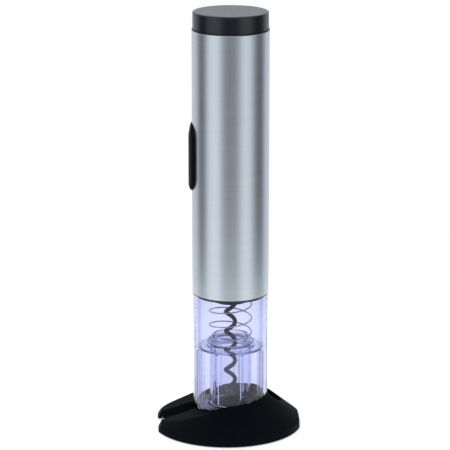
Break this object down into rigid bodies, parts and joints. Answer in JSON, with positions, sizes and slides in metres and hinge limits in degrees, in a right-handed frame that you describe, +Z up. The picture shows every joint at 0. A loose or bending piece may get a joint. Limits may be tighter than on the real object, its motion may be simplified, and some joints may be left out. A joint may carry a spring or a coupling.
{
  "type": "electric wine opener",
  "caption": "Cordless upright electric wine opener: steel sleeve, clear housing with worm and cork sleeve, twist-off battery cap, standing in its C-shaped foil cutter.",
  "frame": {"origin": "on the floor, on the opener's long axis; the foil cutter's outline reaches 48.3 mm to -X and 45.5 mm to +X of it, so its middle lies 1.4 mm to -X", "axes": "+Z up along the opener; -X towards the rocker button and the foil cutter's slot; -Y towards the plain front"},
  "size_m": [0.0938, 0.0988, 0.2773],
  "materials": {
    "stand_plastic": "fine satin texture, black",
    "clear_plastic": "clear, polished, faintly blue",
    "steel": "brushed around the sleeve",
    "trim": "satin black",
    "cap_plastic": "satin black",
    "rocker_plastic": "satin black",
    "chassis_plastic": "moulded, dark grey",
    "gear_plastic": "moulded acetal, off-white",
    "gear_steel": "machined, oiled",
    "screw_steel": "zinc plated",
    "cutter_steel": "hardened, ground edge",
    "rubber": "matte",
    "spring_steel": "drawn wire",
    "worm_coat": "dark non-stick coating, satin",
    "hub_plastic": "satin black",
    "motor_steel": "nickel-plated can",
    "bronze": "sintered bronze",
    "magnet": "sintered ferrite",
    "armature_steel": "laminated, varnished",
    "copper": "turned copper",
    "contact_metal": "nickel plated",
    "cell_wrap": "plain printed wrap",
    "board": "green solder mask",
    "switch_plastic": "black",
    "plunger_plastic": "red-brown",
    "lead_insulation": "flexible insulation"
  },
  "bodies": {
    "stand": {"stand_body": "stand_plastic", "cutter_cover": "stand_plastic", "cutter_axles": "gear_steel", "cover_screws": "screw_steel", "rubber_feet": "rubber"},
    "wheel_1": {"cutter_wheel_1": "cutter_steel"},
    "wheel_2": {"cutter_wheel_2": "cutter_steel"},
    "wheel_3": {"cutter_wheel_3": "cutter_steel"},
    "wheel_4": {"cutter_wheel_4": "cutter_steel"},
    "opener": {"clear_housing": "clear_plastic", "housing_screws": "screw_steel", "steel_sleeve": "steel", "sleeve_trim_ring": "trim", "chassis_front": "chassis_plastic", "chassis_back": "chassis_plastic", "chassis_screws": "screw_steel", "gearbox_base": "chassis_plastic", "output_bush": "bronze", "ring_gear": "gear_plastic", "motor_plate": "motor_steel", "motor_screws": "screw_steel", "motor_can": "motor_steel", "motor_magnets": "magnet", "motor_end_bell": "chassis_plastic", "motor_bushes": "bronze", "battery_tray": "chassis_plastic", "battery_cell_1": "cell_wrap", "battery_cell_2": "cell_wrap", "battery_cell_3": "cell_wrap", "battery_cell_4": "cell_wrap", "battery_contacts": "contact_metal", "top_ring": "trim", "cap_contact_disc": "chassis_plastic", "rocker_pin": "gear_steel", "switch_bracket": "chassis_plastic", "circuit_board": "board", "switch_bodies": "switch_plastic", "wire_leads": "lead_insulation", "sleeve_spring": "spring_steel"},
    "cork_sleeve": {"cork_sleeve": "clear_plastic"},
    "worm_drive": {"worm": "worm_coat", "worm_hub": "hub_plastic", "hub_screw": "screw_steel", "stage2_carrier": "gear_steel"},
    "planet_2_1": {"stage2_planet_1": "gear_plastic"},
    "planet_2_2": {"stage2_planet_2": "gear_plastic"},
    "planet_2_3": {"stage2_planet_3": "gear_plastic"},
    "first_carrier": {"stage1_carrier": "gear_plastic"},
    "planet_1_1": {"stage1_planet_1": "gear_plastic"},
    "planet_1_2": {"stage1_planet_2": "gear_plastic"},
    "planet_1_3": {"stage1_planet_3": "gear_plastic"},
    "motor_rotor": {"motor_shaft": "gear_steel", "motor_pinion": "gear_steel", "armature": "armature_steel", "commutator": "copper"},
    "battery_cap": {"battery_cap": "cap_plastic", "cap_gasket": "rubber"},
    "rocker": {"rocker_button": "rocker_plastic"},
    "upper_plunger": {"upper_plunger": "plunger_plastic"},
    "lower_plunger": {"lower_plunger": "plunger_plastic"}
  },
  "joints": [
    {"name": "lift_off", "type": "slide", "parent": "stand", "child": "opener", "axis": [0, 0, 1], "range_m": [0, 0.12]},
    {"name": "wheel_1_roll", "type": "hinge", "parent": "stand", "child": "wheel_1", "pos_m": [0.01253, 0.01494, 0.0057], "axis": [0, 0, 1], "continuous": true},
    {"name": "wheel_2_roll", "type": "hinge", "parent": "stand", "child": "wheel_2", "pos_m": [-0.01253, 0.01494, 0.0057], "axis": [0, 0, 1], "continuous": true},
    {"name": "wheel_3_roll", "type": "hinge", "parent": "stand", "child": "wheel_3", "pos_m": [-0.01253, -0.01494, 0.0057], "axis": [0, 0, 1], "continuous": true},
    {"name": "wheel_4_roll", "type": "hinge", "parent": "stand", "child": "wheel_4", "pos_m": [0.01253, -0.01494, 0.0057], "axis": [0, 0, 1], "continuous": true},
    {"name": "cork_sleeve_slide", "type": "slide", "parent": "opener", "child": "cork_sleeve", "axis": [0, 0, 1], "range_m": [0, 0.021], "stiffness_N_per_m": 120, "springref_m": -0.012, "deforming": ["sleeve_spring"]},
    {"name": "worm_spin", "type": "hinge", "parent": "opener", "child": "worm_drive", "pos_m": [0, 0, 0.09], "axis": [0, 0, 1], "continuous": true},
    {"name": "planet_2_1_spin", "type": "hinge", "parent": "worm_drive", "child": "planet_2_1", "pos_m": [0.0105, 0, 0.1018], "axis": [0, 0, 1], "continuous": true},
    {"name": "planet_2_2_spin", "type": "hinge", "parent": "worm_drive", "child": "planet_2_2", "pos_m": [-0.00525, 0.00909, 0.1018], "axis": [0, 0, 1], "continuous": true},
    {"name": "planet_2_3_spin", "type": "hinge", "parent": "worm_drive", "child": "planet_2_3", "pos_m": [-0.00525, -0.00909, 0.1018], "axis": [0, 0, 1], "continuous": true},
    {"name": "first_carrier_spin", "type": "hinge", "parent": "opener", "child": "first_carrier", "pos_m": [0, 0, 0.106], "axis": [0, 0, 1], "continuous": true},
    {"name": "planet_1_1_spin", "type": "hinge", "parent": "first_carrier", "child": "planet_1_1", "pos_m": [0.0105, 0, 0.111], "axis": [0, 0, 1], "continuous": true},
    {"name": "planet_1_2_spin", "type": "hinge", "parent": "first_carrier", "child": "planet_1_2", "pos_m": [-0.00525, 0.00909, 0.111], "axis": [0, 0, 1], "continuous": true},
    {"name": "planet_1_3_spin", "type": "hinge", "parent": "first_carrier", "child": "planet_1_3", "pos_m": [-0.00525, -0.00909, 0.111], "axis": [0, 0, 1], "continuous": true},
    {"name": "motor_spin", "type": "hinge", "parent": "opener", "child": "motor_rotor", "pos_m": [0, 0, 0.13], "axis": [0, 0, 1], "continuous": true},
    {"name": "rocker_tilt", "type": "hinge", "parent": "opener", "child": "rocker", "pos_m": [-0.0174, 0, 0.1828], "axis": [0, 1, 0], "range_deg": [-2.5, 2.5], "stiffness_Nm_per_rad": 0.2},
    {"name": "upper_plunger_travel", "type": "slide", "parent": "opener", "child": "upper_plunger", "axis": [1, 0, 0], "range_m": [-0.0006, 0.0006]},
    {"name": "lower_plunger_travel", "type": "slide", "parent": "opener", "child": "lower_plunger", "axis": [1, 0, 0], "range_m": [-0.0006, 0.0006]},
    {"name": "cap_twist", "type": "hinge", "parent": "opener", "child": "battery_cap", "pos_m": [0, 0, 0.27], "axis": [0, 0, 1], "range_deg": [0, 45]}
  ],
  "couplings": [
    {"joint": "planet_2_1_spin", "follows": "worm_spin", "ratio": -2.6667},
    {"joint": "planet_2_2_spin", "follows": "worm_spin", "ratio": -2.6667},
    {"joint": "planet_2_3_spin", "follows": "worm_spin", "ratio": -2.6667},
    {"joint": "first_carrier_spin", "follows": "worm_spin", "ratio": 5},
    {"joint": "planet_1_1_spin", "follows": "worm_spin", "ratio": -13.333},
    {"joint": "planet_1_2_spin", "follows": "worm_spin", "ratio": -13.333},
    {"joint": "planet_1_3_spin", "follows": "worm_spin", "ratio": -13.333},
    {"joint": "motor_spin", "follows": "worm_spin", "ratio": 25},
    {"joint": "upper_plunger_travel", "follows": "rocker_tilt", "m_per_rad": 0.013},
    {"joint": "lower_plunger_travel", "follows": "rocker_tilt", "m_per_rad": -0.013}
  ]
}
